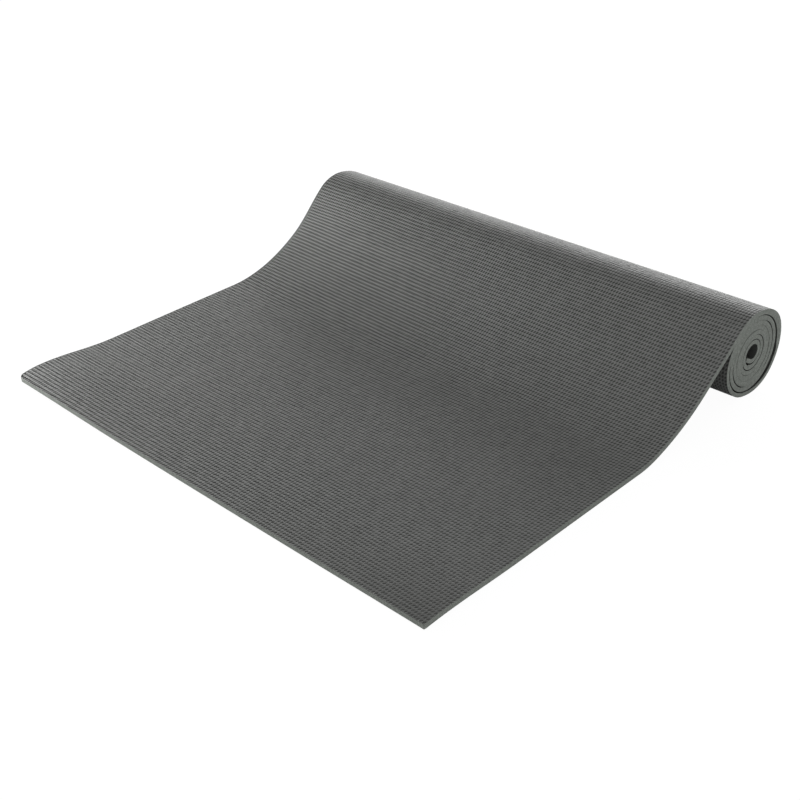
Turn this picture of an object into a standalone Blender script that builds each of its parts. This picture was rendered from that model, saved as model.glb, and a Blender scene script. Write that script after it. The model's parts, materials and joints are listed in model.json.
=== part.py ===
"""An embossed foam fitness mat, half unrolled on the floor.

The mat is one long sheet: a woven scrim with a layer of foam on each face. Its front part lies flat. From the
foot line it climbs as a slope, and it lies against the roll along the contact line. There it goes over the top
and winds inwards, with its top face outside. The outermost turn is loose and hangs out at the back, the rest is
wound tight and pressed thinner, and the very end lies straight across the eye.

A sheet bends, and a solid doesn't, so the sheet is parted along the lines where it is folded or peeled in use.
Each of its sections turns about a line on the sheet's top face, so a lifted section opens away from its
neighbour. Metres, +Z up, +X across the mat, +Y from the free end to the roll. The origin is on the floor,
under the middle of the mat as it lies.
"""

import math

import bmesh
import bpy
import numpy as np
from mathutils import Vector

# The sheet
WIDTH = 0.610
FOAM = 0.0022
WOUND_FOAM = 0.00175
SCRIM = 0.0005
BOND_GAP = 0.0003
CORNER_RADIUS = 0.003
CORNER_STEPS = 4

# The flat sections, from the free end to the foot line
FREE_END_LENGTH = 0.085
FRONT_LENGTH = 0.100
BED_LENGTH = 0.112
FOLD_SLIT = 0.0003

# The slope: a short bend at the foot, a long easy one above it, then straight to the roll
FOOT_RADIUS = 0.110
FOOT_ANGLE = math.radians(14)
RISE_RADIUS = 0.230
BEND_STEP = math.radians(3.5)

# The winding. Shares of a turn are counted from the contact line.
TURNS = 6.68
POINTS_PER_TURN = 36
TURN_GAP = 0.00046
EYE_END_RADIUS = 0.0075
EYE_RISE = 0.0030
CONTACT_ANGLE = math.radians(38)
OVAL_SHARE = 1.045

# Under the first two turns a gap opens at the back of the roll and closes again on the floor
LOOSE_GAP = 0.0043
SECOND_LOOSE_GAP = 0.0007
LOOSE_FROM_SHARE = 0.13
LOOSE_TO_SHARE = 0.645
LOOSE_EASE_SHARE = 0.18

# The loose turn has the sheet's full thickness up to where it bears the roll on the floor
PRESSED_FROM_SHARE = 0.40
PRESSED_TO_SHARE = 0.62

# The end in the eye leaves the turn outside it, and then runs straight on to the far wall of the eye
END_CURL = 0.0022
END_CURL_SHARE = 0.42
END_CLEARANCE = 0.0007

# What follows from these
THICKNESS = SCRIM + 2 * BOND_GAP + 2 * FOAM
WOUND_THICKNESS = SCRIM + 2 * BOND_GAP + 2 * WOUND_FOAM
PITCH = WOUND_THICKNESS + TURN_GAP + EYE_RISE / TURNS
START_RADIUS = EYE_END_RADIUS + WOUND_THICKNESS / 2 + PITCH * TURNS
FLAT_LENGTH = FREE_END_LENGTH + FRONT_LENGTH + BED_LENGTH
LAYERS = ("top_foam", "scrim", "base_foam")


def clear_scene():
    for thing in list(bpy.data.objects):
        bpy.data.objects.remove(thing)


def linear(hex_colour):
    """The linear value of an sRGB colour written as RRGGBB."""
    parts = [int(hex_colour[i : i + 2], 16) / 255 for i in (0, 2, 4)]
    return [c / 12.92 if c <= 0.04045 else ((c + 0.055) / 1.055) ** 2.4 for c in parts] + [1.0]


def material(name, hex_colour, roughness):
    made = bpy.data.materials.new(name)
    made.use_nodes = True
    shader = made.node_tree.nodes["Principled BSDF"]
    shader.inputs["Base Color"].default_value = linear(hex_colour)
    shader.inputs["Roughness"].default_value = roughness
    shader.inputs["Metallic"].default_value = 0.0
    made.diffuse_color = linear(hex_colour)
    return made


# The middle of the sheet is a row of stations. A station is its place (y, z), the direction that the sheet's
# top face looks in there, and the thickness of one layer of foam.


def station(place, top_direction, foam):
    return Vector(place), Vector(top_direction).normalized(), foam


def ahead(top):
    """The direction in which the sheet runs on, from the one that its top face looks in."""
    return Vector((top.y, -top.x))


def flat_stations(start, end):
    return [station((y, THICKNESS / 2), (0, 1), FOAM) for y in (start, end)]


def eased(share):
    """Nothing up to a share of 0, all from a share of 1, and a smooth way between them."""
    share = min(max(share, 0), 1)
    return share * share * (3 - 2 * share)


def looseness(turn):
    """How far a loose turn stands off the one inside it, besides the gap that every turn keeps."""
    whole = math.floor(turn)
    opened = eased((turn - whole - LOOSE_FROM_SHARE) / LOOSE_EASE_SHARE)
    not_closed = eased((LOOSE_TO_SHARE - turn + whole) / LOOSE_EASE_SHARE)
    return {0: LOOSE_GAP, 1: SECOND_LOOSE_GAP}.get(whole, 0) * opened * not_closed


def wound_foam(turn):
    """A layer of foam: full thick in the loose turn, and pressed thinner from the floor on."""
    pressed = eased((turn - PRESSED_FROM_SHARE) / (PRESSED_TO_SHARE - PRESSED_FROM_SHARE))
    return FOAM + (WOUND_FOAM - FOAM) * pressed


def wound_point(turn):
    """The middle of the sheet, that many turns after the contact line, seen from the roll's centre."""
    angle = 2 * math.pi * turn - CONTACT_ANGLE
    curled_in = END_CURL * eased((turn - TURNS) / END_CURL_SHARE + 1)
    radius = START_RADIUS - PITCH * turn + looseness(turn) + wound_foam(turn) - WOUND_FOAM - curled_in
    rise = EYE_RISE * turn / TURNS
    return Vector((OVAL_SHARE * radius * math.sin(angle), radius * math.cos(angle) + rise))


def wound_top_direction(turn):
    step = 0.1 / POINTS_PER_TURN
    along = wound_point(turn + step) - wound_point(turn - step)
    return Vector((-along.y, along.x))


def way_to(line, start, direction):
    """How far it is from a place, in a direction, to a line of points."""
    points = np.array([tuple(p) for p in line]) - start
    run = points[1:] - points[:-1]
    points = points[:-1]
    across = direction.x * run[:, 1] - direction.y * run[:, 0]
    way = (points[:, 0] * run[:, 1] - points[:, 1] * run[:, 0]) / across
    share = (points[:, 0] * direction.y - points[:, 1] * direction.x) / across
    return way[(way > 0) & (share >= 0) & (share <= 1)].min()


def straight_end(stations):
    """The very end of the sheet: straight on from the last station, and short of the turn outside it."""
    place, top, foam = stations[-1]
    wall = face_points(stations[: -POINTS_PER_TURN // 2], "base_foam", 0)
    corners = (face_points(stations, "top_foam", 1)[-1], face_points(stations, "base_foam", 0)[-1])
    length = min(way_to(wall, corner, ahead(top)) for corner in corners) - END_CLEARANCE
    return station(place + ahead(top) * length, top, foam)


def winding_stations():
    """The roll, from the contact line to the end of the sheet in the eye, seen from the roll's centre."""
    first = FOLD_SLIT / 2 / (2 * math.pi * START_RADIUS)
    steps = round(TURNS * POINTS_PER_TURN)
    turns = [first] + [k / POINTS_PER_TURN for k in range(1, steps + 1)]
    stations = [station(wound_point(t), wound_top_direction(t), wound_foam(t)) for t in turns]
    return stations + [straight_end(stations)]


def moved(stations, by):
    return [(place + by, top, foam) for place, top, foam in stations]


def arc_stations(centre, radius, first_slope, last_slope):
    """A bend upwards about a centre above the sheet, its two ends included."""
    steps = math.ceil((last_slope - first_slope) / BEND_STEP)
    found = []
    for k in range(steps + 1):
        slope = first_slope + (last_slope - first_slope) * k / steps
        top = Vector((-math.sin(slope), math.cos(slope)))
        found.append(station(centre - top * radius, top, FOAM))
    return found


def slope_stations(start, contact_height, contact_slope):
    """The sheet from the foot line to the contact line, whose height and slope the roll gives."""
    floor_height = THICKNESS / 2
    foot = arc_stations(Vector((start, floor_height + FOOT_RADIUS)), FOOT_RADIUS, 0, FOOT_ANGLE)
    place, top, foam = foot[-1]
    rise = arc_stations(place + top * RISE_RADIUS, RISE_RADIUS, FOOT_ANGLE, contact_slope)
    place, top, foam = rise[-1]
    length = (contact_height - place.y) / ahead(top).y
    return foot + rise[1:] + [station(place + ahead(top) * length, top, foam)]


def trimmed(stations, at_start, at_end):
    """The stations with half a fold's slit taken off at the ends named."""
    found = list(stations)
    for wanted, end, beside in ((at_start, 0, 1), (at_end, -1, -2)):
        if wanted:
            place, top, foam = found[end]
            inward = (found[beside][0] - place).normalized()
            found[end] = (place + inward * FOLD_SLIT / 2, top, foam)
    return found


def layer_faces(layer, foam):
    """The heights of a layer's lower and upper face over the middle of the sheet."""
    inner = SCRIM / 2 + BOND_GAP
    return {
        "top_foam": (inner, inner + foam),
        "scrim": (-SCRIM / 2, SCRIM / 2),
        "base_foam": (-inner - foam, -inner),
    }[layer]


def face_points(stations, layer, upper):
    return [place + top * layer_faces(layer, foam)[upper] for place, top, foam in stations]


def layer_solid(name, stations, layer, pivot, finish, parent, rounded):
    """One layer of one section: its side view as a strip of faces, extruded across the mat."""
    shape = bmesh.new()
    rows = []
    for upper in (0, 1):
        points = face_points(stations, layer, upper)
        rows.append([shape.verts.new((-WIDTH / 2, p.x - pivot.y, p.y - pivot.z)) for p in points])
    low, high = rows
    for k in range(len(stations) - 1):
        shape.faces.new((low[k], low[k + 1], high[k + 1], high[k]))
    grown = bmesh.ops.extrude_face_region(shape, geom=list(shape.faces))
    new_corners = [part for part in grown["geom"] if isinstance(part, bmesh.types.BMVert)]
    bmesh.ops.translate(shape, verts=new_corners, vec=(WIDTH, 0, 0))
    if rounded:
        near = min(corner.co.y for corner in shape.verts)
        upright = [
            edge
            for edge in shape.edges
            if all(corner.co.y == near for corner in edge.verts) and edge.verts[0].co.x == edge.verts[1].co.x
        ]
        bmesh.ops.bevel(
            shape,
            geom=upright,
            offset=CORNER_RADIUS,
            offset_type="OFFSET",
            segments=CORNER_STEPS,
            profile=0.5,
            affect="EDGES",
        )
    bmesh.ops.recalc_face_normals(shape, faces=list(shape.faces))
    mesh = bpy.data.meshes.new(name)
    shape.to_mesh(mesh)
    shape.free()
    mesh.materials.append(finish)
    mesh.shade_smooth()
    mesh.set_sharp_from_angle(angle=math.radians(30))
    made = bpy.data.objects.new(name, mesh)
    made.parent = parent
    bpy.context.scene.collection.objects.link(made)
    return made


def fold_line(name, place, parent, parent_place):
    """An empty on the line that a section turns about, carried by the section before it."""
    line = bpy.data.objects.new(name, None)
    line.empty_display_size = THICKNESS
    line.parent = parent
    line.location = place - parent_place
    bpy.context.scene.collection.objects.link(line)
    return line


def least_gap(stations):
    """The least distance between the sheet's two faces where half a turn or more of sheet lies between them."""
    under = np.array([tuple(p) for p in face_points(stations, "base_foam", 0)])
    outer = np.array([tuple(p) for p in face_points(stations, "top_foam", 1)])
    least = math.inf
    for points, line in ((under, outer), (outer, under)):
        start, run = line[:-1], line[1:] - line[:-1]
        for k, point in enumerate(points):
            share = np.clip(((point - start) * run).sum(1) / (run * run).sum(1), 0, 1)
            reach = np.linalg.norm(start + run * share[:, None] - point, axis=1)
            apart = np.abs(np.arange(len(start)) - k) > POINTS_PER_TURN / 2
            least = min(least, reach[apart].min())
    return least


def sheet_length(stations):
    return sum((b[0] - a[0]).length for a, b in zip(stations, stations[1:]))


def main():
    clear_scene()
    foam_finish = material("grey_foam", "6E706E", 0.62)
    scrim_finish = material("scrim_yarn", "D8D6CC", 0.85)

    # The roll stands on the floor, and the slope rises to its contact line
    winding = winding_stations()
    lowest = min(point.y for point in face_points(winding, "top_foam", 1))
    contact = wound_point(0)
    facing = wound_top_direction(0)
    contact_slope = math.atan2(-facing.x, facing.y)
    slope = slope_stations(FLAT_LENGTH, contact.y - lowest, contact_slope)
    roll_centre = slope[-1][0] - contact
    winding = moved(winding, roll_centre)

    # The part's origin is half way between the free edge and the back of the roll
    middle = max(point.x for point in face_points(winding, "top_foam", 1)) / 2
    back = Vector((-middle, 0))
    winding = moved(winding, back)
    slope = moved(slope, back)
    fold_1 = FREE_END_LENGTH
    fold_2 = fold_1 + FRONT_LENGTH
    contact_top = face_points(slope, "top_foam", 1)[-1]

    pivots = {
        "free_end": Vector((0, fold_1 - middle, THICKNESS)),
        "front": Vector((0, fold_2 - middle, THICKNESS)),
        "bed": Vector((0, 0, 0)),
        "slope": Vector((0, FLAT_LENGTH - middle, THICKNESS)),
        "roll": Vector((0, contact_top.x, contact_top.y)),
    }
    sections = {
        "free_end": trimmed(moved(flat_stations(0, fold_1), back), False, True),
        "front": trimmed(moved(flat_stations(fold_1, fold_2), back), True, True),
        "bed": trimmed(moved(flat_stations(fold_2, FLAT_LENGTH), back), True, True),
        "slope": trimmed(slope, True, True),
        "roll": winding,
    }
    carried_by = {"bed": None, "front": "bed", "free_end": "front", "slope": "bed", "roll": "slope"}
    lines = {None: None}
    for section, carrier in carried_by.items():
        if carrier is None:
            lines[section] = None
            continue
        lines[section] = fold_line(
            section + "_fold_line",
            pivots[section],
            lines[carrier],
            pivots[carrier] if lines[carrier] else Vector((0, 0, 0)),
        )
    for section, stations in sections.items():
        for layer in LAYERS:
            layer_solid(
                section + "_" + layer,
                stations,
                layer,
                pivots[section],
                scrim_finish if layer == "scrim" else foam_finish,
                lines[section],
                rounded=section == "free_end",
            )
    for section in ("free_end", "front", "slope", "roll"):
        print("fold line of the", section, [round(v, 5) for v in pivots[section]])
    print("roll centre", [round(v, 5) for v in roll_centre + back])
    whole = sections["slope"] + sections["roll"]
    print("least gap of the winding to itself, in mm:", round(1000 * least_gap(whole), 3))
    print("depth", round(2 * middle, 5), "sheet length", round(FLAT_LENGTH + sheet_length(slope + winding), 4))


main()
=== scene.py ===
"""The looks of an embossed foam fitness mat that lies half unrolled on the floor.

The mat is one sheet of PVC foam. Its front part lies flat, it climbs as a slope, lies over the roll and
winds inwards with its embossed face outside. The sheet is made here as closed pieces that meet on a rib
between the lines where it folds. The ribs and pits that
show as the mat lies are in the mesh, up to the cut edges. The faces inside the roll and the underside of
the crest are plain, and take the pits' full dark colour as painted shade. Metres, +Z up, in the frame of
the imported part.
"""

import json
import math

import bpy
import numpy as np
from bpy.props import FloatProperty, FloatVectorProperty, PointerProperty, StringProperty
from mathutils import Euler, Matrix, Vector


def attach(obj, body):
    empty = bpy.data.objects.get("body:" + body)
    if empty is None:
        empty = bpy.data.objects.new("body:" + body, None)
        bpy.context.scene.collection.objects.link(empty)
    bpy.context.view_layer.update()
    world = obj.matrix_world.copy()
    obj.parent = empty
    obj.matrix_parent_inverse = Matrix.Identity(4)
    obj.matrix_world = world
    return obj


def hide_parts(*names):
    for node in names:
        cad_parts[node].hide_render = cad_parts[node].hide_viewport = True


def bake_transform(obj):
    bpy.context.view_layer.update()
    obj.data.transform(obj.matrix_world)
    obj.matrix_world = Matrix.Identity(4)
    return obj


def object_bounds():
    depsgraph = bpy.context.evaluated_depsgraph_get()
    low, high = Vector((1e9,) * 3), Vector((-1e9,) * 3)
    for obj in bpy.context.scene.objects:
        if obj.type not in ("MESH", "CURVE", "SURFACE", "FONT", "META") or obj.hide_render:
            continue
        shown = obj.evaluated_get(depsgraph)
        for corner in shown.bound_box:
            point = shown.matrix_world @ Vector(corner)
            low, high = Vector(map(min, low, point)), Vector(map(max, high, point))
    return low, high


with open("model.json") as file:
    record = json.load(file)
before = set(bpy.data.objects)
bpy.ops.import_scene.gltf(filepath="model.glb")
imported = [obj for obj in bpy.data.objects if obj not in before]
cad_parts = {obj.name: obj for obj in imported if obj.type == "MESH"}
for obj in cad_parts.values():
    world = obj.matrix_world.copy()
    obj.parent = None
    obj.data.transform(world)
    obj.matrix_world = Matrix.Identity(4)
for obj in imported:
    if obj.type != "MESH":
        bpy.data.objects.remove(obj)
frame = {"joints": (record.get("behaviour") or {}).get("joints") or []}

bl_info = {
    "name": "Half unrolled fitness mat",
    "version": (1, 0, 0),
    "blender": (4, 5, 0),
    "location": "3D View > Sidebar > Mat",
    "description": "Makes the embossed foam sheet of a fitness mat, piece by piece, and its studio stage",
    "category": "Object",
}

JOINTS = {joint["name"]: Vector(joint["pos_m"]) for joint in frame["joints"]}
CAD_LOW, CAD_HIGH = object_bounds()
MM = 0.001


def size(name, description, default):
    """A length that a user may change, in metres."""
    return FloatProperty(name=name, description=description, default=default, unit="LENGTH", precision=5)


def share(name, description, default):
    return FloatProperty(name=name, description=description, default=default, min=0.0, max=10.0)


def turn_angle(name, description, degrees):
    return FloatProperty(name=name, description=description, default=math.radians(degrees), unit="ROTATION")


def finish_colour(name, description, hex_colour):
    return StringProperty(name=name, description=description, default=hex_colour)


class MatSheetSizes(bpy.types.PropertyGroup):
    """The sheet and the way it lies."""

    width: size("Width", "Across the mat", CAD_HIGH.x - CAD_LOW.x)
    thickness: size("Thickness", "Of the sheet where it lies flat", JOINTS["slope_raise"].z)
    wound_thickness: size("Wound thickness", "Of the sheet where it is pressed in the roll", 0.0046)
    left_corner: size("Left corner", "Radius of the free end's left corner, seen from above", 0.006)
    right_corner: size("Right corner", "Radius of the free end's right corner, seen from above", 0.0012)
    edge_rounding: size("Edge rounding", "Of the cut edges", 0.0002)
    foot_radius: size("Foot radius", "Of the short bend where the slope leaves the floor", 0.110)
    foot_angle: turn_angle("Foot angle", "That the short bend turns", 14)
    rise_radius: size("Rise radius", "Of the long bend above the foot", 0.230)
    left_curl: size("Left curl", "How far the left corner of the free end lifts", 0.0064)
    right_curl: size("Right curl", "How far the right corner of the free end lifts", 0.0018)
    curl_length: size("Curl length", "Of the stretch along the edge that lifts", 0.095)
    curl_width: size("Curl width", "Of the stretch across the mat that lifts", 0.125)
    curl_crest: size("Curl crest", "From the free edge to the highest point of a lifted corner", 0.028)
    left_sag: size("Left sag", "How far back the left edge of the slope lies", 0.013)
    right_rise: size("Right rise", "How far forward the right edge of the slope lies", 0.0015)
    unevenness: size("Unevenness", "Height of the waves in a sheet that was stored as a roll", 0.0005)


class MatWindingSizes(bpy.types.PropertyGroup):
    """The roll. Places in it are counted in turns from the contact line."""

    turns: share("Turns", "Up to the start of the straight end in the eye", 6.68)
    turn_gap: size("Turn gap", "Between two turns above the eye, before the foam fills it", 0.00046)
    shut_gap: size("Shut gap", "What stays between two turns where the seam is shut", 0.00008)
    eye_radius: size("Eye radius", "At the inner end of the sheet", 0.0075)
    eye_rise: size("Eye rise", "How far above the roll's centre the eye sits", 0.0030)
    contact_angle: turn_angle("Contact angle", "From the top of the roll back to the contact line", 38)
    oval_share: share("Oval share", "Depth of the roll over its height", 1.045)
    loose_gap: size("Loose gap", "Widest gap under the outermost turn, besides the turn gap", 0.0054)
    second_loose_gap: size("Second loose gap", "The same under the second turn", 0.0007)
    loose_from: share("Loose from", "Where the gap under a loose turn starts to open", 0.13)
    loose_to: share("Loose to", "Where it has closed again", 0.645)
    loose_ease: share("Loose ease", "The stretch in which it opens or closes", 0.18)
    pressed_from: share("Pressed from", "Where the sheet starts to be pressed thinner", 0.22)
    pressed_to: share("Pressed to", "Where it is pressed to its wound thickness", 0.45)
    end_curl: size("End curl", "How far the inner end leaves the turn outside it", 0.0012)
    end_curl_turns: share("End curl turns", "The stretch in which it leaves that turn", 0.66)
    straight_end: size("Straight end", "Length of the straight end that lies across the eye", 0.0080)
    skew: size("Skew", "How far the roll stands to the left of the flat part", 0.00185)
    edge_wander: size("Edge wander", "How far the cut edges of the turns stand out of line", 0.0004)


class MatEmbossSizes(bpy.types.PropertyGroup):
    """The net of ribs and pits that the hot roller leaves on both faces."""

    column_pitch: size("Column pitch", "Distance between pits across the mat", 0.003466)
    row_pitch: size("Row pitch", "Distance between pits along the mat", 0.0045)
    shoulder_share: share("Shoulder share", "Share of a pitch from a pit's middle to its shoulder", 0.43)
    pit_depth: size("Pit depth", "Of a pit under the knots of the net", 0.00120)
    long_rib_depth: size("Long rib depth", "Of the ribs along the mat under the knots", 0.00016)
    cross_rib_depth: size("Cross rib depth", "Of the ribs across the mat under the knots", 0.00012)
    back_share: share("Back share", "Depth of the emboss on the underside over that on the top", 0.7)
    row_wander: size("Row wander", "How far the rows drift out of line", 0.0005)
    # Painted shade: faces without emboss, inside the roll and under the crest, take the pits' full dark
    # colour
    plain_painted_shade: share("Plain share", "How deep in a pit the faces without mesh emboss count as", 0.35)
    jitter: size("Jitter", "How far a single rib or pit lies from its place", 0.00020)
    irregular_share: share("Irregular share", "How much the depth of the pits varies", 0.22)
    side_share: share("Side share", "How much deeper the pits are at the left than in the middle", 0.2)
    end_wear: share("End wear", "How much shallower the pits are at the free end's right corner", 0.40)
    end_wear_reach: size("End wear reach", "How far that wear reaches", 0.16)


class MatColours(bpy.types.PropertyGroup):
    """sRGB colours, written RRGGBB."""

    rib: finish_colour("Ribs", "The high part of the embossed skin", "727371")
    # The pits' darker colour paints the shade that falls in them
    pit: finish_colour("Pits", "The floor of the pits", "3A3B39")
    cut: finish_colour("Cut foam", "The open cells of the cut edges", "939892")
    cell: finish_colour("Cell shade", "The shaded inside of an open cell", "6C706A")
    floor: finish_colour("Floor", "The pale studio floor", "F4F4F4")


class MatStage(bpy.types.PropertyGroup):
    """The camera and the light."""

    azimuth: turn_angle("Azimuth", "Of the camera round the mat", 45.635)
    elevation: turn_angle("Elevation", "Of the camera over the floor", 30.990)
    roll: turn_angle("Roll", "Of the camera about its own axis", -2.5416)
    place: FloatVectorProperty(
        name="Camera place",
        description="Where the camera stands",
        default=(0.8716, CAD_LOW.y - 0.5701, 0.7013),
        unit="LENGTH",
    )
    lens: FloatProperty(name="Lens", description="Focal length in millimetres", default=58.44, min=1)
    surround: share("Surround", "Strength of the even light from all round", 0.34)
    floor_size: size("Floor size", "Side of the square floor", 30.0)
    white_share: share("White share", "How much of the floor the camera sees as plain white", 0.9)
    white_level: share("White level", "Brightness of that white", 1.07)


def colour(hex_colour):
    """The linear RGBA of an sRGB colour written as RRGGBB."""
    parts = [int(hex_colour[i : i + 2], 16) / 255 for i in (0, 2, 4)]
    return [c / 12.92 if c <= 0.04045 else ((c + 0.055) / 1.055) ** 2.4 for c in parts] + [1.0]


def smooth_step(value, low, high):
    """0 below low and 1 above high, with an easy change between them."""
    t = np.clip((value - low) / (high - low), 0, 1)
    return t * t * (3 - 2 * t)


def slow_waves(a, b, length, seed):
    """Smooth unevenness from -1 to 1 over two lengths, the same each run."""
    draw = np.random.default_rng(seed)
    total = 0
    for _ in range(5):
        heading, phase, stretch = draw.uniform(0, 2 * math.pi, 3)
        k = 2 * math.pi / (length * (0.7 + 0.1 * stretch))
        total = total + np.sin(k * (a * math.cos(heading) + b * math.sin(heading)) + phase)
    return total / 5


# The sheet's line

# Where a seam of the roll stands open: from which turn to which, over how many turns it opens, and how wide
OPEN_SEAMS = (
    (0.06, 0.88, 0.06, 0.7 * MM),
    (0.18, 0.88, 0.24, 3.6 * MM),
    (0.36, 0.88, 0.08, 5 * MM),
    (1.18, 1.52, 0.06, 1.2 * MM),
    (1.62, 1.88, 0.06, 0.9 * MM),
    (2.30, 2.50, 0.06, 0.3 * MM),
    (3.60, 3.80, 0.06, 0.3 * MM),
    (4.10, 4.80, 0.12, 0.9 * MM),
    (5.04, 5.84, 0.20, 1.4 * MM),
)
SEAM_CLOSES_OVER = 0.06

# Stretches over which a change of form eases in, from the free edge, the foot line or the contact line
SAG_AT_FOOT, SAG_AT_CREST = (-0.03, 0.05), (-0.08, 0.01)
WAVES_AT_EDGE, WAVES_AT_CREST = (0.0, 0.06), (-0.05, 0.0)
SKEW_AT_CREST, WANDER_AT_CREST = (-0.06, 0.10), (0.0, 0.1)

# How fast the sag and the rise of the slope's edges fade towards the other edge
SAG_POWER, RISE_POWER = 1.6, 3

# Lengths of the slow changes: of the sheet's height, the turns' edges, the rows' drift and the pits' depth
HEIGHT_WAVE, EDGE_WAVE, ROW_WAVE, PIT_WAVE = 0.23, 0.19, 0.09, 0.021


def eased(along, line, stretch):
    return smooth_step(along, line + stretch[0], line + stretch[1])


def thickness_at(turn):
    """Of the sheet: full in the loose turn, and pressed thinner from where that turn bears the roll."""
    sheet, roll = bpy.context.scene.mat_sheet, bpy.context.scene.mat_winding
    pressed = smooth_step(turn, roll.pressed_from, roll.pressed_to)
    return sheet.thickness + (sheet.wound_thickness - sheet.thickness) * pressed


def wound_point(turn):
    """The middle of the sheet, that many turns after the contact line, seen from the roll's centre."""
    sheet, roll = bpy.context.scene.mat_sheet, bpy.context.scene.mat_winding
    angle = 2 * math.pi * turn - roll.contact_angle
    pitch = sheet.wound_thickness + roll.turn_gap + roll.eye_rise / roll.turns
    radius = roll.eye_radius + sheet.wound_thickness / 2 + pitch * (roll.turns - turn)
    for first, gap in ((0, roll.loose_gap), (1, roll.second_loose_gap)):
        opened = smooth_step(turn - first, roll.loose_from, roll.loose_from + roll.loose_ease)
        closed = smooth_step(turn - first, roll.loose_to - roll.loose_ease, roll.loose_to)
        radius = radius + gap * opened * (1 - closed)
    radius = radius + (thickness_at(turn) - sheet.wound_thickness) / 2
    radius = radius - roll.end_curl * smooth_step(turn, roll.turns - roll.end_curl_turns, roll.turns)
    rise = roll.eye_rise * turn / roll.turns
    return np.stack([roll.oval_share * radius * np.sin(angle), radius * np.cos(angle) + rise], -1)


class SheetLine:
    """The middle of the sheet as a line in the (y, z) plane, by distance from the free edge."""

    STEP = 0.5 * MM
    STEPS_PER_TURN = 720
    ARC_POINTS = 60
    STRAIGHT_POINTS = 200

    def __init__(self):
        sheet, roll = bpy.context.scene.mat_sheet, bpy.context.scene.mat_winding
        self.half_width = sheet.width / 2
        turn = np.linspace(0, roll.turns, round(roll.turns * self.STEPS_PER_TURN))
        winding = wound_point(turn)
        ahead = winding[1] - winding[0]
        contact_slope = math.atan2(ahead[1], ahead[0])
        contact = self.under(JOINTS["roll_peel"], contact_slope, sheet.thickness)
        winding = winding - winding[0] + contact
        last = winding[-1] - winding[-2]
        end = winding[-1] + roll.straight_end * last / np.linalg.norm(last)
        end = np.linspace(winding[-1], end, round(roll.straight_end / self.STEP))[1:]
        foot = np.array([JOINTS["slope_raise"].y, sheet.thickness / 2])
        start = np.array([CAD_LOW.y, sheet.thickness / 2])
        flat = np.linspace(start, foot, round((foot[0] - start[0]) / self.STEP), endpoint=False)
        bend = self.arc(foot, 0.0, sheet.foot_angle, sheet.foot_radius)
        rise = self.arc(bend[-1], sheet.foot_angle, contact_slope, sheet.rise_radius)
        straight = np.linspace(rise[-1], contact, self.STRAIGHT_POINTS, endpoint=False)[1:]
        parts = [flat, bend[:-1], rise, straight, winding, end]
        step = np.diff(np.concatenate(parts), axis=0)
        self.points = np.concatenate(parts)
        self.along = np.concatenate([[0], np.cumsum(np.linalg.norm(step, axis=1))])
        self.middles = (self.along[1:] + self.along[:-1]) / 2
        self.slope = np.unwrap(np.arctan2(step[:, 1], step[:, 0]))
        first_wound = sum(len(part) for part in parts[:4])
        self.foot = self.along[len(flat)]
        self.contact = self.along[first_wound]
        self.length = self.along[-1]
        self.wound_along = self.along[first_wound : first_wound + len(winding)]
        self.wound_turn = turn
        self.fill = self.seam_fill(turn, winding)

    @staticmethod
    def under(place, slope, thickness):
        """The middle of the sheet below a place on its top face."""
        half = thickness / 2
        return np.array([place.y + math.sin(slope) * half, place.z - math.cos(slope) * half])

    @classmethod
    def arc(cls, start, first, last, radius):
        """Points on an arc that turns from one slope to another."""
        slope = np.linspace(first, last, cls.ARC_POINTS)
        centre = start + radius * np.array([-math.sin(first), math.cos(first)])
        return centre + radius * np.stack([np.sin(slope), -np.cos(slope)], -1)

    @staticmethod
    def seam_fill(turn, winding):
        """How far the foam swells inwards at each wound point, so that only the open seams stay open."""
        roll = bpy.context.scene.mat_winding
        ahead = np.gradient(winding, axis=0)
        top = np.stack([-ahead[:, 1], ahead[:, 0]], -1) / np.linalg.norm(ahead, axis=1)[:, None]
        inside = np.stack([np.interp(turn + 1, turn, winding[:, k]) for k in (0, 1)], -1)
        apart = ((winding - inside) * top).sum(1) - (thickness_at(turn) + thickness_at(turn + 1)) / 2
        wanted = roll.shut_gap
        for first, last, ease, width in OPEN_SEAMS:
            closed = smooth_step(turn, last - SEAM_CLOSES_OVER, last)
            wanted = wanted + width * smooth_step(turn, first, first + ease) * (1 - closed)
        return np.clip(apart - wanted, 0, None) * smooth_step(turn, 0, 0.02) * (turn < roll.turns - 1)

    def turn_of(self, along):
        return np.interp(along, self.wound_along, self.wound_turn, left=0.0)

    def fill_at(self, along):
        return np.interp(along, self.wound_along, self.fill, left=0.0, right=0.0)

    def reach(self, along, radius):
        """From the middle line to the cut edge, less near the free end, where the corner is round."""
        into = np.clip(radius - along, 0, 0.97 * radius)
        return self.half_width - radius + np.sqrt(radius**2 - into**2)

    def place(self, across, along, height):
        """Points of the sheet: across and along it, and that far above its middle."""
        sheet, roll = bpy.context.scene.mat_sheet, bpy.context.scene.mat_winding
        y, z = (np.interp(along, self.along, self.points[:, k]) for k in (0, 1))
        slope = np.interp(along, self.middles, self.slope)
        y = y - np.sin(slope) * height
        z = z + np.cos(slope) * height
        leftness = 0.5 - across / self.half_width / 2

        # A corner that lifts, most a little way behind the free edge
        before = 1 - 0.5 * np.clip(1 - along / sheet.curl_crest, 0, 1) ** 2
        fades = np.cos(math.pi / 2 * np.clip((along - sheet.curl_crest) / sheet.curl_length, 0, 1)) ** 2
        for curl, from_edge in (
            (sheet.left_curl, across + self.half_width),
            (sheet.right_curl, self.half_width - across),
        ):
            z = z + curl * before * fades * np.exp(-((from_edge / sheet.curl_width) ** 2))

        # The slope lies further back on the left
        window = eased(along, self.foot, SAG_AT_FOOT) * (1 - eased(along, self.contact, SAG_AT_CREST))
        sag, rise = sheet.left_sag * leftness**SAG_POWER, sheet.right_rise * (1 - leftness) ** RISE_POWER
        y = y + window * (sag - rise)

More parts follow.
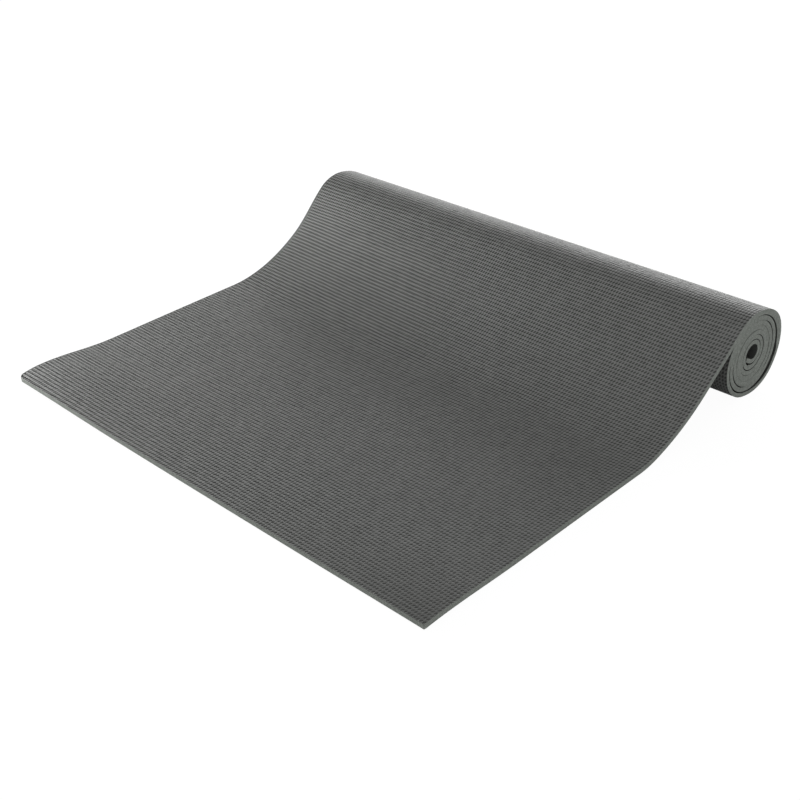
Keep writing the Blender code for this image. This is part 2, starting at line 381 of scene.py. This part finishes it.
        # Slow waves where the sheet is free, and a roll that stands askew with its turns out of line
        free = eased(along, 0.0, WAVES_AT_EDGE) * (1 - eased(along, self.contact, WAVES_AT_CREST))
        z = z + sheet.unevenness * free * (1 + slow_waves(across, along, HEIGHT_WAVE, 5)) / 2
        x = across - roll.skew * eased(along, self.contact, SKEW_AT_CREST)
        wound = eased(along, self.contact, WANDER_AT_CREST)
        x = x + roll.edge_wander * wound * slow_waves(along, 0.0, EDGE_WAVE, 11)
        return np.stack([x, y, z], -1)


# The sheet's mesh

# Points over a cut edge, from one face to the other
RIM = 4


def net_lines(first, last, pitch):
    """Mesh lines over a run of pits, and how deep in a pit each lies: shoulder, middle, shoulder."""
    shoulder = bpy.context.scene.mat_emboss.shoulder_share
    places = np.arange(first, last + 1)[:, None] + 0.5 + np.array([-shoulder, 0, shoulder])
    places = np.concatenate([[first], places.ravel(), [last + 1]]) * pitch
    return places, np.concatenate([[0.0], np.tile([0.0, 1.0, 0.0], last + 1 - first), [0.0]])


def rows_of_pits(first, last):
    """The lines along the sheet, with one more at the lip of the free edge."""
    places, deep = net_lines(first, last, bpy.context.scene.mat_emboss.row_pitch)
    if first > 0:
        return places, deep
    lip = bpy.context.scene.mat_sheet.edge_rounding
    return np.concatenate([[0.0, lip], places[1:]]), np.concatenate([[0.0], deep])


def embossed_columns():
    """The lines across the sheet, from the lip of one cut edge to that of the other."""
    width, lip = bpy.context.scene.mat_sheet.width, bpy.context.scene.mat_sheet.edge_rounding
    count = round(width / bpy.context.scene.mat_emboss.column_pitch)
    places, deep = net_lines(0, count - 1, width / count)
    places[0], places[-1] = lip, width - lip
    return places - width / 2, deep


def plain_columns():
    """The lines across a face without emboss, close together where it meets the cut edges."""
    rim = bpy.context.scene.mat_sheet.width / 2 - bpy.context.scene.mat_sheet.edge_rounding
    inward = np.array([0, 0.4, 2, 8, 40, 120]) * MM
    places = np.concatenate([inward - rim, rim - inward[::-1]])
    return places, np.zeros_like(places)


def face_of(line, columns, rows, depth_share):
    """A face of the sheet: places across and along it, how far under the knots, and how deep in a pit."""
    sizes, sheet = bpy.context.scene.mat_emboss, bpy.context.scene.mat_sheet
    (across, in_column), (along, in_row) = columns, rows
    draw = np.random.default_rng(round(along[0] / MM) + round(1000 * depth_share))
    shape = len(along), len(across)
    u, v = in_column[None, :], in_row[:, None] * (depth_share > 0)
    pits = sizes.pit_depth * u * v * (1 + sizes.irregular_share * draw.uniform(-1, 1, shape))
    ribs = sizes.long_rib_depth * (1 - u) * v + sizes.cross_rib_depth * u * (1 - v) * (depth_share > 0)
    patchy = 1 + 0.12 * slow_waves(across[None, :], along[:, None], PIT_WAVE, 3)
    patchy = patchy - sizes.side_share * across[None, :] / line.half_width
    from_corner = np.hypot(line.half_width - across[None, :], along[:, None])
    wear = sizes.end_wear * np.exp(-((from_corner / sizes.end_wear_reach) ** 2))
    low = (pits + ribs) * (patchy - wear)

    # Single ribs and pits lie a little out of place, but not where two pieces meet or at the cut edges
    inner = np.zeros(shape)
    inner[2:-1, 2:-2] = sizes.jitter * (depth_share > 0)
    x = np.broadcast_to(across[None, :], shape) + inner * draw.uniform(-1, 1, shape)
    far = np.broadcast_to(along[:, None], shape) + inner * draw.uniform(-1, 1, shape)
    for side, radius in ((-1, sheet.left_corner), (1, sheet.right_corner)):
        corner = line.half_width - radius
        beyond = np.clip(side * x - corner, 0, None) / radius
        x = x - side * beyond * (line.half_width - line.reach(along, radius)[:, None])
    # Faces without emboss count as deep in a pit, so they are painted with the pits' dark shade
    in_pit = pits * patchy / sizes.pit_depth if depth_share else low + sizes.plain_painted_shade
    return x, far, low * depth_share, in_pit


# The bake map: its width, and its bands, each from the lower to the upper v
MAP_WIDTH = 0.002, 0.998
TOP_BAND, BACK_BAND = (0.002, 0.462), (0.468, 0.928)
RIGHT_BAND, LEFT_BAND = (0.934, 0.948), (0.954, 0.968)
CAP_BANDS = (0.974, 0.984), (0.989, 0.999)


def between(band, part):
    return band[0] + (band[1] - band[0]) * part


def sheet_piece(name, rows, columns, finishes, back_columns=None, free_end=False):
    """A closed piece of the sheet, from rows and columns as (places, how deep in a pit)."""
    line = SheetLine()
    sheet, sizes = bpy.context.scene.mat_sheet, bpy.context.scene.mat_emboss
    along = rows[0]
    back_share = 0.0 if back_columns else sizes.back_share
    top_x, top_far, top_low, top_pit = face_of(line, columns, rows, 1.0 if columns[1].any() else 0.0)
    back_x, back_far, back_low, back_pit = face_of(line, back_columns or columns, rows, back_share)

    # Over a row: the top face from left to right, the right cut edge, the back face, the left cut edge
    half = thickness_at(line.turn_of(along)) / 2
    if free_end:
        half = half - sheet.edge_rounding * (along == along[0])
    top_height = half[:, None] - top_low
    back_height = back_low - (half + line.fill_at(along))[:, None]
    turned = np.radians([45, 0])
    inward = sheet.edge_rounding * (1 - np.cos(turned))
    downward = sheet.edge_rounding * (1 - np.sin(turned))
    right_x = line.reach(along, sheet.right_corner)[:, None] - inward
    left_x = inward - line.reach(along, sheet.left_corner)[:, None]
    right = top_height[:, -1:] - downward, back_height[:, -1:] + downward
    left = back_height[:, :1] + downward, top_height[:, :1] - downward
    edge = np.zeros((len(along), RIM))
    x = [top_x, right_x, right_x[:, ::-1], back_x[:, ::-1], left_x, left_x[:, ::-1]]
    height = [top_height, right[0], right[1][:, ::-1], back_height[:, ::-1], left[0], left[1][:, ::-1]]
    far = [top_far, edge + along[:, None], back_far[:, ::-1], edge + along[:, None]]
    pit = [top_pit, edge, back_pit[:, ::-1], edge]
    x, height, far, pit = (np.concatenate(parts, 1) for parts in (x, height, far, pit))
    drift = slow_waves(x, far, ROW_WAVE, 8) * smooth_step(far, 0.0, 0.02)
    points = line.place(x, far + sizes.row_wander * drift, height)

    # Faces: strips round the sheet, and a cap at each end
    count, ring = x.shape
    tops, backs = top_x.shape[1], back_x.shape[1]
    i, j = np.meshgrid(np.arange(count - 1), np.arange(ring), indexing="ij")
    after = (j + 1) % ring
    quads = np.stack([i * ring + j, i * ring + after, (i + 1) * ring + after, (i + 1) * ring + j], -1)
    cap = end_cap(tops, backs)
    first_cap = [corners[::-1] for corners in cap]
    last_cap = [[(count - 1) * ring + k for k in corners] for corners in cap]
    mesh = bpy.data.meshes.new(name)
    mesh.from_pydata(points.reshape(-1, 3), [], quads.reshape(-1, 4).tolist() + first_cap + last_cap)
    for finish in finishes:
        mesh.materials.append(finish)
    is_cut = np.zeros(ring, np.int32)
    is_cut[tops - 1 : tops + RIM] = 1
    is_cut[tops + RIM + backs - 1 :] = 1
    caps = np.ones(2 * len(cap), np.int32)
    is_smooth = np.concatenate([np.ones(quads[..., 0].size), 0 * caps]).astype(bool)
    mesh.polygons.foreach_set("material_index", np.concatenate([np.tile(is_cut, count - 1), caps]))
    mesh.polygons.foreach_set("use_smooth", is_smooth)

    # What the finishes read: where a point lies on the unrolled sheet, and how deep in a pit it is
    spot = mesh.attributes.new("sheet_place", "FLOAT_VECTOR", "POINT")
    spot.data.foreach_set("vector", np.stack([x, far, height], -1).astype(np.float32).ravel())
    depth = mesh.attributes.new("pit_depth", "FLOAT", "POINT")
    depth.data.foreach_set("value", pit.astype(np.float32).ravel())
    bake_map(mesh, count, ring, tops, backs, [first_cap, cap])

    made = bpy.data.objects.new(name, mesh)
    bpy.context.scene.collection.objects.link(made)
    return made


def end_cap(tops, backs):
    """The faces that close a ring: quads from the top face to the back where their points pair up."""
    ring = tops + backs + 2 * RIM
    if tops != backs:
        return [list(range(ring))]
    right, left = tops + RIM, tops + RIM - 1 + backs
    quads = [[k, k + 1, left - k - 1, left - k] for k in range(tops - 1)]
    return quads + [list(range(tops - 1, right + 1)), list(range(left, ring)) + [0]]


def bake_map(mesh, count, ring, tops, backs, caps):
    """A flat map of the piece. The top face, the back, the cut edges and the caps each have a band."""
    row = np.arange(count) / (count - 1)
    uv = np.zeros((count - 1, ring, 4, 2))
    right, left = tops + RIM, tops + RIM - 1 + backs
    starts, ends = (0, tops - 1, right, left), (tops - 1, right, left, ring)
    for band, start, end, across_first in zip(
        (TOP_BAND, RIGHT_BAND, BACK_BAND, LEFT_BAND), starts, ends, (True, False, True, False)
    ):
        near, far = np.arange(end - start) / (end - start), np.arange(1, end - start + 1) / (end - start)
        for corner, (part, step) in enumerate(((near, 0), (far, 0), (far, 1), (near, 1))):
            this_row = row[step : step + count - 1, None] + 0 * part[None, :]
            this_part = part[None, :] + 0 * this_row
            u, v = (this_part, this_row) if across_first else (this_row, this_part)
            uv[:, start:end, corner, 0] = between(MAP_WIDTH, u)
            uv[:, start:end, corner, 1] = between(band, v)
    layer = mesh.uv_layers.new(name="OFBake")
    flat = [uv.reshape(-1, 2)]
    share_across = np.interp(np.arange(ring), [0, tops - 1, right, left, ring], [0, 1, 1, 0, 0])
    upper = np.interp(np.arange(ring), [tops - 1, right, left, ring], [1, 0, 0, 1])
    for band, faces in zip(CAP_BANDS, caps):
        corners = np.concatenate([np.array(face) % ring for face in faces]).astype(int)
        u, v = between(MAP_WIDTH, share_across[corners]), between(band, upper[corners])
        flat.append(np.stack([u, v], -1))
    layer.data.foreach_set("uv", np.concatenate(flat).astype(np.float32).ravel())


# Finishes


def node(tree, kind, settings=None, **links):
    """A shader node with its settings, its sockets' values and its links. The name _6 means socket 6."""
    made = tree.nodes.new(kind)
    for name, value in (settings or {}).items():
        setattr(made, name, value)
    for name, value in links.items():
        socket = made.inputs[int(name[1:])] if name[1:].isdigit() else made.inputs[name.replace("_", " ")]
        if isinstance(value, bpy.types.NodeSocket):
            tree.links.new(value, socket)
        else:
            socket.default_value = value
    return made


def new_finish(name):
    made = bpy.data.materials.new(name)
    made.use_nodes = True
    tree = made.node_tree
    return made, tree, tree.nodes["Principled BSDF"]


def embossed_pvc_foam():
    """PVC foam with the skin that a hot embossing roller leaves: satin ribs, and dull pits whose dark
    colour is painted shade.
    """
    colours = bpy.context.scene.mat_colours
    made, tree, shader = new_finish("embossed_pvc_foam")
    place = node(tree, "ShaderNodeAttribute", {"attribute_name": "sheet_place"}).outputs["Vector"]
    deep = node(tree, "ShaderNodeAttribute", {"attribute_name": "pit_depth"}).outputs["Fac"]
    cells = node(tree, "ShaderNodeTexNoise", Vector=place, Scale=1 / (0.9 * MM), Detail=3.0, Roughness=0.6)
    cells = cells.outputs["Fac"]
    scuffs = node(tree, "ShaderNodeTexNoise", Vector=place, Scale=1 / (7 * MM), Detail=3.0, Roughness=0.55)
    patches = node(tree, "ShaderNodeTexNoise", Vector=place, Scale=1 / (38 * MM), Detail=4.0, Roughness=0.6)
    # Painted shade: the deeper a point lies in a pit, the darker its colour
    in_pit = node(tree, "ShaderNodeMapRange", Value=deep, From_Min=0.02, From_Max=0.28)
    # Painted light: ribs and pits differ most in tone at the left edge, as under raking light, and least
    # near the right corner.
    # Past 0 and 1 the mix goes on, so that the ribs are paler and the pits darker than their own colours
    aside = node(tree, "ShaderNodeSeparateXYZ", Vector=place).outputs["X"]
    aside = node(tree, "ShaderNodeMapRange", Value=aside, From_Min=-0.30, From_Max=0.30,
                 To_Min=-0.45, To_Max=0.40)
    corner = (bpy.context.scene.mat_sheet.width / 2, 0, 0)
    away = node(tree, "ShaderNodeVectorMath", {"operation": "DISTANCE"}, _0=place, _1=corner)
    away = away.outputs["Value"]
    corner = node(tree, "ShaderNodeMapRange", Value=away, From_Max=0.30, To_Min=0.58, To_Max=0.0)
    painted_contrast = node(tree, "ShaderNodeMath", _0=aside.outputs[0], _1=corner.outputs[0])
    # Painted shade: the skin is darker towards the free end's right corner
    shade = node(tree, "ShaderNodeMapRange", Value=away, From_Max=0.28, To_Min=0.80, To_Max=0.55)
    past = {"clamp_factor": False}
    painted_contrast, in_pit, shade = painted_contrast.outputs[0], in_pit.outputs[0], shade.outputs[0]
    dark = node(tree, "ShaderNodeMix", past, _0=painted_contrast, _2=in_pit, _3=shade)
    rib, pit = colour(colours.rib), colour(colours.pit)
    skin = node(tree, "ShaderNodeMix", {"data_type": "RGBA", **past}, _0=dark.outputs[0], _6=rib, _7=pit)
    grain = node(tree, "ShaderNodeMapRange", Value=cells, To_Min=0.85, To_Max=1.15)
    worn = node(tree, "ShaderNodeMapRange", Value=scuffs.outputs["Fac"], From_Min=0.3, From_Max=0.7)
    worn.inputs["To Min"].default_value = 0.90
    worn.inputs["To Max"].default_value = 1.10
    slow = node(tree, "ShaderNodeMapRange", Value=patches.outputs["Fac"], From_Min=0.3, From_Max=0.7)
    slow.inputs["To Min"].default_value = 0.96
    slow.inputs["To Max"].default_value = 1.06
    both = node(tree, "ShaderNodeMath", {"operation": "MULTIPLY"}, _0=grain.outputs[0], _1=slow.outputs[0])
    both = node(tree, "ShaderNodeMath", {"operation": "MULTIPLY"}, _0=both.outputs[0], _1=worn.outputs[0])
    both = both.outputs[0]
    tinted = node(tree, "ShaderNodeVectorMath", {"operation": "SCALE"}, _0=skin.outputs[2], Scale=both)
    dull = node(tree, "ShaderNodeMapRange", Value=deep, To_Min=0.48, To_Max=0.70)
    dull = dull.outputs[0]
    rough = node(tree, "ShaderNodeMath", {"operation": "MULTIPLY_ADD"}, _0=cells, _1=0.16, _2=dull)
    bump = node(tree, "ShaderNodeBump", Strength=0.35, Distance=0.12 * MM, Height=cells)
    tree.links.new(tinted.outputs[0], shader.inputs["Base Color"])
    tree.links.new(rough.outputs[0], shader.inputs["Roughness"])
    tree.links.new(bump.outputs[0], shader.inputs["Normal"])
    sheen = node(tree, "ShaderNodeMapRange", Value=deep, From_Max=0.3, To_Min=0.46, To_Max=0.12)
    tree.links.new(sheen.outputs[0], shader.inputs["Specular IOR Level"])
    shader.inputs["IOR"].default_value = 1.52
    return made


def cut_pvc_foam():
    """The same foam where a blade went through it: open cells, paler and dull."""
    colours = bpy.context.scene.mat_colours
    made, tree, shader = new_finish("cut_pvc_foam")
    place = node(tree, "ShaderNodeAttribute", {"attribute_name": "sheet_place"}).outputs["Vector"]
    cells = node(tree, "ShaderNodeTexVoronoi", Vector=place, Scale=1 / (0.6 * MM)).outputs["Distance"]
    patches = node(tree, "ShaderNodeTexNoise", Vector=place, Scale=1 / (3.5 * MM), Detail=4.0)
    deep = node(tree, "ShaderNodeMapRange", Value=cells, From_Min=0.15, From_Max=0.75)
    cell, cut = colour(colours.cell), colour(colours.cut)
    foam = node(tree, "ShaderNodeMix", {"data_type": "RGBA"}, _0=deep.outputs[0], _6=cell, _7=cut)
    slow = node(tree, "ShaderNodeMapRange", Value=patches.outputs["Fac"], From_Min=0.3, From_Max=0.7)
    slow.inputs["To Min"].default_value = 0.84
    slow.inputs["To Max"].default_value = 1.16
    slow = slow.outputs[0]
    tinted = node(tree, "ShaderNodeVectorMath", {"operation": "SCALE"}, _0=foam.outputs[2], Scale=slow)
    bump = node(tree, "ShaderNodeBump", Strength=0.4, Distance=0.1 * MM, Height=cells)
    tree.links.new(tinted.outputs[0], shader.inputs["Base Color"])
    tree.links.new(bump.outputs[0], shader.inputs["Normal"])
    shader.inputs["Roughness"].default_value = 0.78
    shader.inputs["IOR"].default_value = 1.45
    return made


def finishes():
    names = {"embossed_pvc_foam": embossed_pvc_foam, "cut_pvc_foam": cut_pvc_foam}
    return [bpy.data.materials.get(name) or make() for name, make in names.items()]


# Operators

# Steps along the plain inner turns, per column of pits
PLAIN_STEPS = 1.6

# First and last row of pits of each piece, counted from the free edge
FREE_END_PITS = 0, 29
FRONT_PITS = 30, 52
FOOT_PITS = 53, 82
SLOPE_PITS = 83, 101
CREST_PITS = 102, 135
OUTER_TURN_PITS = 136, 177


def bend_over(piece):
    """Bakes the piece's place into its mesh."""
    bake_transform(piece)


def declare(piece, *nodes):
    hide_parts(*nodes)


def section_nodes(section):
    return [f"{section}_{layer}" for layer in ("top_foam", "scrim", "base_foam")]


class MAT_OT_flat_sheets(bpy.types.Operator):
    """Makes the free end, the front and the foot of the sheet, which lie on the floor"""

    bl_idname = "mat.flat_sheets"
    bl_label = "Flat sheets"

    def execute(self, context):
        columns = embossed_columns()
        rows = rows_of_pits(*FREE_END_PITS)
        piece = sheet_piece("free_end_sheet", rows, columns, finishes(), free_end=True)
        bend_over(piece)
        declare(piece, *section_nodes("free_end"))

        piece = sheet_piece("front_sheet", rows_of_pits(*FRONT_PITS), columns, finishes())
        bend_over(piece)
        declare(piece, *section_nodes("front"))

        piece = sheet_piece("foot_sheet", rows_of_pits(*FOOT_PITS), columns, finishes())
        bend_over(piece)
        declare(piece, *section_nodes("bed"))
        return {"FINISHED"}


class MAT_OT_slope_sheets(bpy.types.Operator):
    """Makes the stretch of the sheet that climbs the slope, and the one over the crest of the roll"""

    bl_idname = "mat.slope_sheets"
    bl_label = "Slope sheets"

    def execute(self, context):
        columns = embossed_columns()
        piece = sheet_piece("slope_sheet", rows_of_pits(*SLOPE_PITS), columns, finishes())
        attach(piece, "slope")
        declare(piece, "slope_top_foam", "slope_scrim")

        rows = rows_of_pits(*CREST_PITS)
        piece = sheet_piece("crest_sheet", rows, columns, finishes(), back_columns=plain_columns())
        bend_over(piece)
        declare(piece, "slope_base_foam")
        return {"FINISHED"}


class MAT_OT_roll(bpy.types.Operator):
    """Makes the wound part of the sheet: the rest of the embossed outer turn, and the turns inside it"""

    bl_idname = "mat.roll"
    bl_label = "Roll"

    def execute(self, context):
        plain = plain_columns()
        rows = rows_of_pits(*OUTER_TURN_PITS)
        piece = sheet_piece("outer_turn_sheet", rows, embossed_columns(), finishes(), back_columns=plain)
        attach(piece, "roll")
        declare(piece, "roll_top_foam")

        start, end = rows[0][-1], SheetLine().length
        pitch = context.scene.mat_emboss.column_pitch
        along = np.linspace(start, end, round((end - start) / pitch * PLAIN_STEPS))
        rows = along, np.zeros_like(along)
        piece = sheet_piece("inner_turns_sheet", rows, plain, finishes(), back_columns=plain)
        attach(piece, "roll")
        declare(piece, "roll_scrim", "roll_base_foam")
        return {"FINISHED"}


def lamp(name, place, target, width, depth, power):
    """A soft rectangular lamp that faces the target."""
    made = bpy.data.lights.new(name, "AREA")
    made.shape = "RECTANGLE"
    made.size, made.size_y, made.energy = width, depth, power
    held = bpy.data.objects.new(name, made)
    held.location = place
    held.rotation_euler = (Vector(target) - Vector(place)).to_track_quat("-Z", "Y").to_euler()
    held.visible_camera = False
    bpy.context.scene.collection.objects.link(held)


class MAT_OT_stage(bpy.types.Operator):
    """Makes the floor, the light and the camera"""

    bl_idname = "mat.stage"
    bl_label = "Stage"

    def execute(self, context):
        scene, stage = context.scene, context.scene.mat_stage
        held = bpy.data.cameras.new("camera")
        held.lens = stage.lens
        held.sensor_width = 36
        held.clip_start, held.clip_end = 0.05, 100
        camera = bpy.data.objects.new("camera", held)
        turned = Euler((math.pi / 2 - stage.elevation, 0, stage.azimuth)).to_matrix()
        turned = turned @ Matrix.Rotation(stage.roll, 3, "Z")
        camera.matrix_world = Matrix.Translation(stage.place) @ turned.to_4x4()
        scene.collection.objects.link(camera)
        scene.camera = camera

        bpy.ops.object.select_all(action="DESELECT")
        bpy.ops.mesh.primitive_plane_add(size=stage.floor_size, location=(0, 0, -0.2 * MM))
        floor = context.object
        floor.name = "studio_floor"
        floor.data.materials.append(self.floor_paint(scene))
        scene.world = self.surround(stage)

        lamp("left_softbox", (-1.15, -0.20, 0.36), (-0.1, 0, 0), 0.8, 0.3, 9.5)
        lamp("back_softbox", (-0.55, 1.8, 0.46), (0, 0.2, 0.08), 2.4, 0.4, 27)
        lamp("right_fill", (1.5, -0.6, 0.22), (0.3, 0.15, 0.05), 0.7, 0.3, 3.0)
        lamp("low_lamp", (-0.75, -0.75, 0.12), (-0.25, -0.27, 0), 0.3, 0.15, 2.6)

        scene.view_settings.view_transform = "Standard"
        return {"FINISHED"}

    @staticmethod
    def surround(stage):
        """Even light from all round, which the camera sees as white."""
        world = bpy.data.worlds.new("studio")
        world.use_nodes = True
        tree = world.node_tree
        tree.nodes.clear()
        rays = node(tree, "ShaderNodeLightPath").outputs
        seen = rays["Is Camera Ray"]
        for other in (rays["Is Transmission Ray"], rays["Is Glossy Ray"]):
            seen = node(tree, "ShaderNodeMath", {"operation": "MAXIMUM"}, _0=seen, _1=other).outputs[0]
        even = node(tree, "ShaderNodeBackground", Color=(1, 1, 1, 1), Strength=stage.surround).outputs[0]
        white = node(tree, "ShaderNodeBackground", Color=(1, 1, 1, 1), Strength=1.0).outputs[0]
        mixed = node(tree, "ShaderNodeMixShader", _0=seen, _1=even, _2=white)
        node(tree, "ShaderNodeOutputWorld", _0=mixed.outputs[0])
        return world

    @staticmethod
    def floor_paint(scene):
        """White studio paint, which the camera sees as white apart from a part of its shadow."""
        made, tree, shader = new_finish("studio_paint")
        shader.inputs["Base Color"].default_value = colour(scene.mat_colours.floor)
        shader.inputs["Roughness"].default_value = 0.9
        camera_ray = node(tree, "ShaderNodeLightPath").outputs["Is Camera Ray"]
        level = scene.mat_stage.white_level
        white = node(tree, "ShaderNodeEmission", Color=(1, 1, 1, 1), Strength=level).outputs[0]
        part = scene.mat_stage.white_share
        part = node(tree, "ShaderNodeMath", {"operation": "MULTIPLY"}, _0=camera_ray, _1=part).outputs[0]
        mixed = node(tree, "ShaderNodeMixShader", _0=part, _1=shader.outputs[0], _2=white)
        tree.links.new(mixed.outputs[0], tree.nodes["Material Output"].inputs["Surface"])
        return made


class MAT_PT_panel(bpy.types.Panel):
    bl_label = "Fitness mat"
    bl_idname = "MAT_PT_panel"
    bl_space_type = "VIEW_3D"
    bl_region_type = "UI"
    bl_category = "Mat"

    def draw(self, context):
        for operator in OPERATORS:
            self.layout.operator(operator.bl_idname)


OPERATORS = (MAT_OT_flat_sheets, MAT_OT_slope_sheets, MAT_OT_roll, MAT_OT_stage)
GROUPS = {
    "mat_sheet": MatSheetSizes,
    "mat_winding": MatWindingSizes,
    "mat_emboss": MatEmbossSizes,
    "mat_colours": MatColours,
    "mat_stage": MatStage,
}


def register():
    for group in (*GROUPS.values(), *OPERATORS, MAT_PT_panel):
        bpy.utils.register_class(group)
    for name, group in GROUPS.items():
        setattr(bpy.types.Scene, name, PointerProperty(type=group))


def unregister():
    for name in GROUPS:
        delattr(bpy.types.Scene, name)
    for group in (MAT_PT_panel, *OPERATORS, *GROUPS.values()):
        bpy.utils.unregister_class(group)


def main():
    register()
    bpy.ops.mat.flat_sheets()
    bpy.ops.mat.slope_sheets()
    bpy.ops.mat.roll()
    bpy.ops.mat.stage()


if __name__ == "__main__":
    main()
